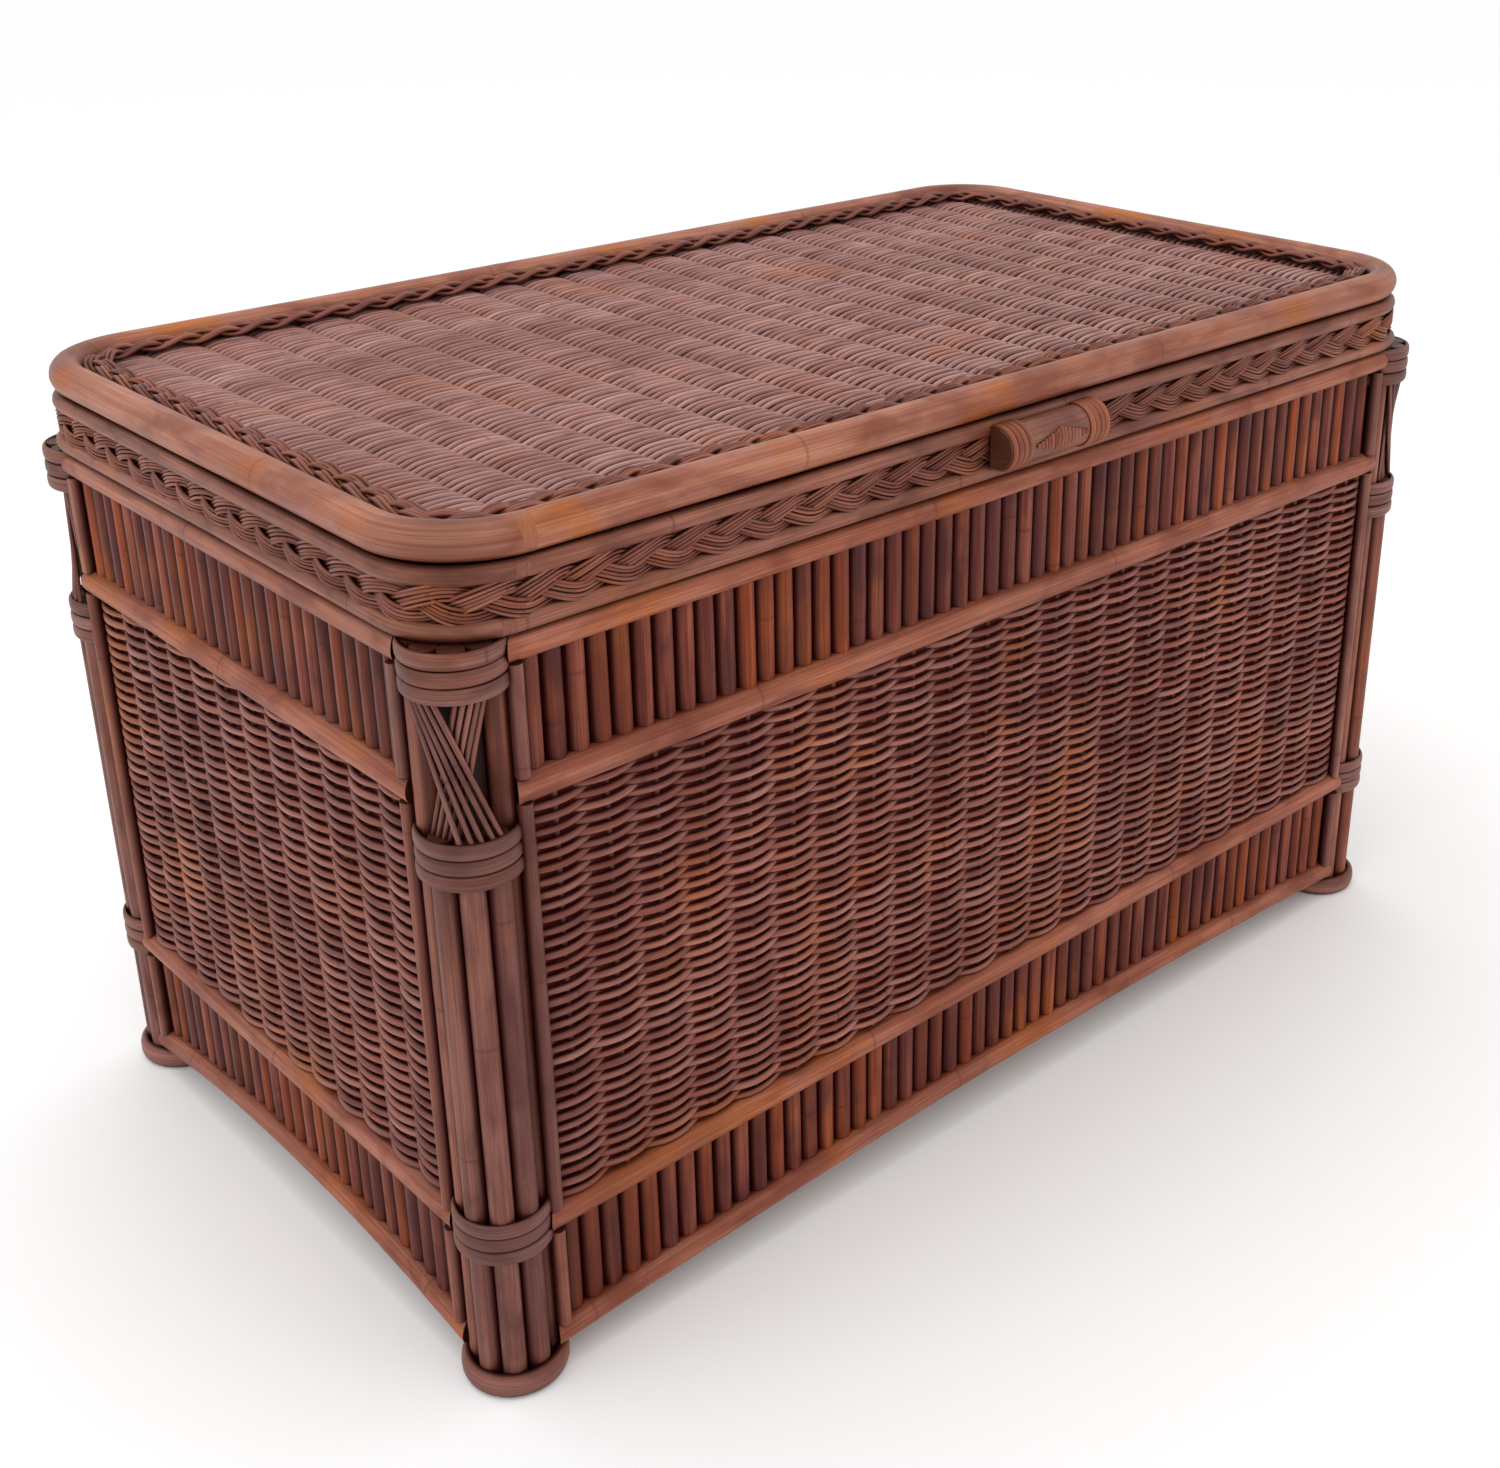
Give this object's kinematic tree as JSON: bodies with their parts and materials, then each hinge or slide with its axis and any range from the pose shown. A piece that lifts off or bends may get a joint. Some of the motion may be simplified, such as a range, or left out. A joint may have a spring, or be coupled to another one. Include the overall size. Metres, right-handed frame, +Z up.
{
  "type": "storage trunk",
  "caption": "Rattan storage trunk with bundled corner posts, woven and reeded side panels and a hinged woven-top lid",
  "frame": {"origin": "on the floor, under the middle of the whole object's outline (handle and hinge barrels included)", "axes": "+X along the length, to the right as seen from the front; +Y towards the back, where the hinges are; +Z up. The front, with the handle, faces -Y."},
  "size_m": [0.9138, 0.5324, 0.5535],
  "materials": {
    "post_poles": "stained rattan under semi-gloss lacquer",
    "cane": "stained rattan under semi-gloss lacquer",
    "core_pole": "stained",
    "foot_cane": "stained rattan under semi-gloss lacquer",
    "rail_poles": "stained rattan under semi-gloss lacquer",
    "reeds": "stained rattan under semi-gloss lacquer",
    "panel_weave": "stained rattan under semi-gloss lacquer",
    "stiles": "stained rattan under semi-gloss lacquer",
    "board": "unfinished, stained",
    "battens": "unfinished, stained",
    "lid_poles": "stained rattan under semi-gloss lacquer",
    "lid_top_pole": "stained rattan under semi-gloss lacquer",
    "braid": "stained rattan under semi-gloss lacquer",
    "lid_weave": "stained rattan under semi-gloss lacquer",
    "handle_pole": "stained rattan under semi-gloss lacquer",
    "hinge_brass": "aged brass, satin"
  },
  "bodies": {
    "trunk": {"post_poles_front_left": "post_poles", "post_bindings_front_left": "cane", "post_poles_front_right": "post_poles", "post_bindings_front_right": "cane", "post_poles_back_left": "post_poles", "post_bindings_back_left": "cane", "post_poles_back_right": "post_poles", "post_bindings_back_right": "cane", "post_cores": "core_pole", "post_crossings": "cane", "foot_rings": "foot_cane", "top_rail_front": "rail_poles", "upper_rail_front": "rail_poles", "lower_rail_front": "rail_poles", "bottom_rail_front": "rail_poles", "upper_reeds_front": "reeds", "lower_reeds_front": "reeds", "woven_panel_front": "panel_weave", "top_rail_back": "rail_poles", "upper_rail_back": "rail_poles", "lower_rail_back": "rail_poles", "bottom_rail_back": "rail_poles", "upper_reeds_back": "reeds", "lower_reeds_back": "reeds", "woven_panel_back": "panel_weave", "top_rail_left": "rail_poles", "upper_rail_left": "rail_poles", "lower_rail_left": "rail_poles", "bottom_rail_left": "rail_poles", "upper_reeds_left": "reeds", "lower_reeds_left": "reeds", "woven_panel_left": "panel_weave", "top_rail_right": "rail_poles", "upper_rail_right": "rail_poles", "lower_rail_right": "rail_poles", "bottom_rail_right": "rail_poles", "upper_reeds_right": "reeds", "lower_reeds_right": "reeds", "woven_panel_right": "panel_weave", "panel_stiles": "stiles", "reed_stiles": "stiles", "bottom_board": "board", "bottom_frame": "battens", "bottom_cross_bars": "battens", "hinge_body_leaves": "hinge_brass", "hinge_pins": "hinge_brass", "hinge_body_screws": "hinge_brass"},
    "lid": {"lid_bottom_pole": "lid_poles", "lid_braided_band": "braid", "lid_second_pole": "lid_poles", "lid_top_pole": "lid_top_pole", "lid_frame": "battens", "lid_cross_bars": "battens", "lid_woven_top": "lid_weave", "lid_plaited_border": "braid", "handle_pole": "handle_pole", "handle_bindings": "cane", "handle_lashing": "cane", "hinge_lid_leaves": "hinge_brass", "hinge_lid_screws": "hinge_brass"}
  },
  "joints": [
    {"name": "lid_hinge", "type": "hinge", "parent": "trunk", "child": "lid", "pos_m": [0, 0.26322, 0.49065], "axis": [-1, 0, 0], "range_deg": [0, 100]}
  ]
}
